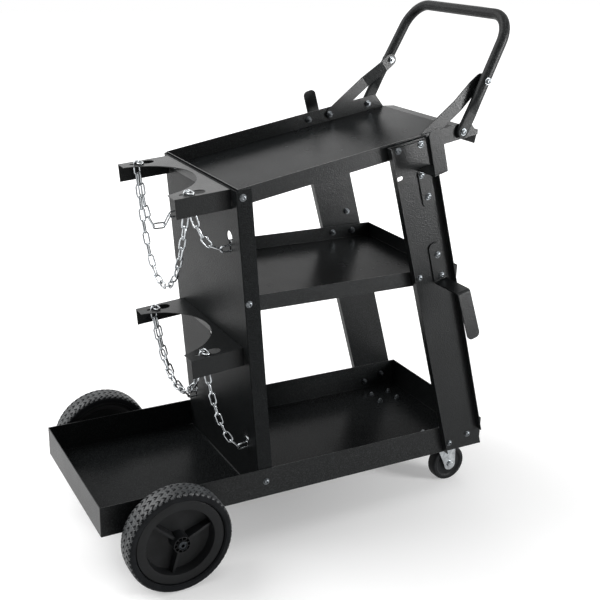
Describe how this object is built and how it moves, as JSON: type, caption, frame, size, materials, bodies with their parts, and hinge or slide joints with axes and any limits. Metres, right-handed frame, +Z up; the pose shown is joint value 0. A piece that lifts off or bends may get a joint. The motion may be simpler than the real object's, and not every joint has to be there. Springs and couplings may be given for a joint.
{
  "type": "welding cart",
  "caption": "Rolling cart for a welding machine and a gas bottle: tilted top tray, flat shelf, bottle brackets with chains, cable hooks, fixed wheels, swivel casters and a tube handle.",
  "frame": {"origin": "on the ground, under the middle of the cart's length and width", "axes": "+Z up, +X from the bottle end towards the handle, +Y to the right of a person who stands at the handle and faces the cart"},
  "size_m": [0.838, 0.5232, 0.9998],
  "materials": {
    "black_paint": "satin black powder coat with a fine grain",
    "zinc": "bright zinc plating",
    "steel": "plain drawn steel",
    "tyre_rubber": "matt black rubber with tread blocks",
    "caster_rubber": "smooth black rubber",
    "rim_plastic": "moulded black plastic"
  },
  "bodies": {
    "cart": {"base_tray": "black_paint", "front_panel": "black_paint", "middle_tray": "black_paint", "top_tray": "black_paint", "rear_post_left": "black_paint", "rear_post_right": "black_paint", "upper_bottle_bracket": "black_paint", "lower_bottle_bracket": "black_paint", "handle_tube": "black_paint", "handle_brace_left": "black_paint", "handle_brace_right": "black_paint", "upper_cable_hook_left": "black_paint", "upper_cable_hook_right": "black_paint", "lower_cable_hook_left": "black_paint", "lower_cable_hook_right": "black_paint", "upper_chain_left": "zinc", "upper_chain_right": "zinc", "lower_chain_left": "zinc", "lower_chain_right": "zinc", "axle": "steel", "axle_spacer_left": "steel", "axle_spacer_right": "steel", "axle_cap_left": "steel", "axle_cap_right": "steel", "axle_saddle_left": "black_paint", "axle_saddle_right": "black_paint", "caster_plate_left": "zinc", "caster_plate_right": "zinc"},
    "left_wheel": {"tyre_left": "tyre_rubber", "rim_left": "rim_plastic"},
    "right_wheel": {"tyre_right": "tyre_rubber", "rim_right": "rim_plastic"},
    "left_caster": {"caster_fork_left": "zinc", "caster_axle_left": "zinc"},
    "right_caster": {"caster_fork_right": "zinc", "caster_axle_right": "zinc"},
    "left_caster_wheel": {"caster_wheel_left": "caster_rubber"},
    "right_caster_wheel": {"caster_wheel_right": "caster_rubber"},
    "upper_chain": {"upper_chain_loop": "zinc"},
    "lower_chain": {"lower_chain_loop": "zinc"}
  },
  "joints": [
    {"name": "left_wheel_spin", "type": "hinge", "parent": "cart", "child": "left_wheel", "pos_m": [-0.29299, -0.2165, 0.1], "axis": [0, 1, 0], "continuous": true},
    {"name": "right_wheel_spin", "type": "hinge", "parent": "cart", "child": "right_wheel", "pos_m": [-0.29299, 0.2165, 0.1], "axis": [0, 1, 0], "continuous": true},
    {"name": "left_caster_swivel", "type": "hinge", "parent": "cart", "child": "left_caster", "pos_m": [0.35001, -0.106, 0.09], "axis": [0, 0, 1], "continuous": true},
    {"name": "right_caster_swivel", "type": "hinge", "parent": "cart", "child": "right_caster", "pos_m": [0.35001, 0.106, 0.09], "axis": [0, 0, 1], "continuous": true},
    {"name": "left_caster_spin", "type": "hinge", "parent": "left_caster", "child": "left_caster_wheel", "pos_m": [0.37901, -0.106, 0.041], "axis": [0, 1, 0], "continuous": true},
    {"name": "right_caster_spin", "type": "hinge", "parent": "right_caster", "child": "right_caster_wheel", "pos_m": [0.37901, 0.106, 0.041], "axis": [0, 1, 0], "continuous": true},
    {"name": "upper_chain_swing", "type": "hinge", "parent": "cart", "child": "upper_chain", "pos_m": [-0.22885, 0, 0.68884], "axis": [0, 1, 0], "range_deg": [0, 60]},
    {"name": "lower_chain_swing", "type": "hinge", "parent": "cart", "child": "lower_chain", "pos_m": [-0.20278, 0, 0.39046], "axis": [0, 1, 0], "range_deg": [-8, 60]}
  ]
}
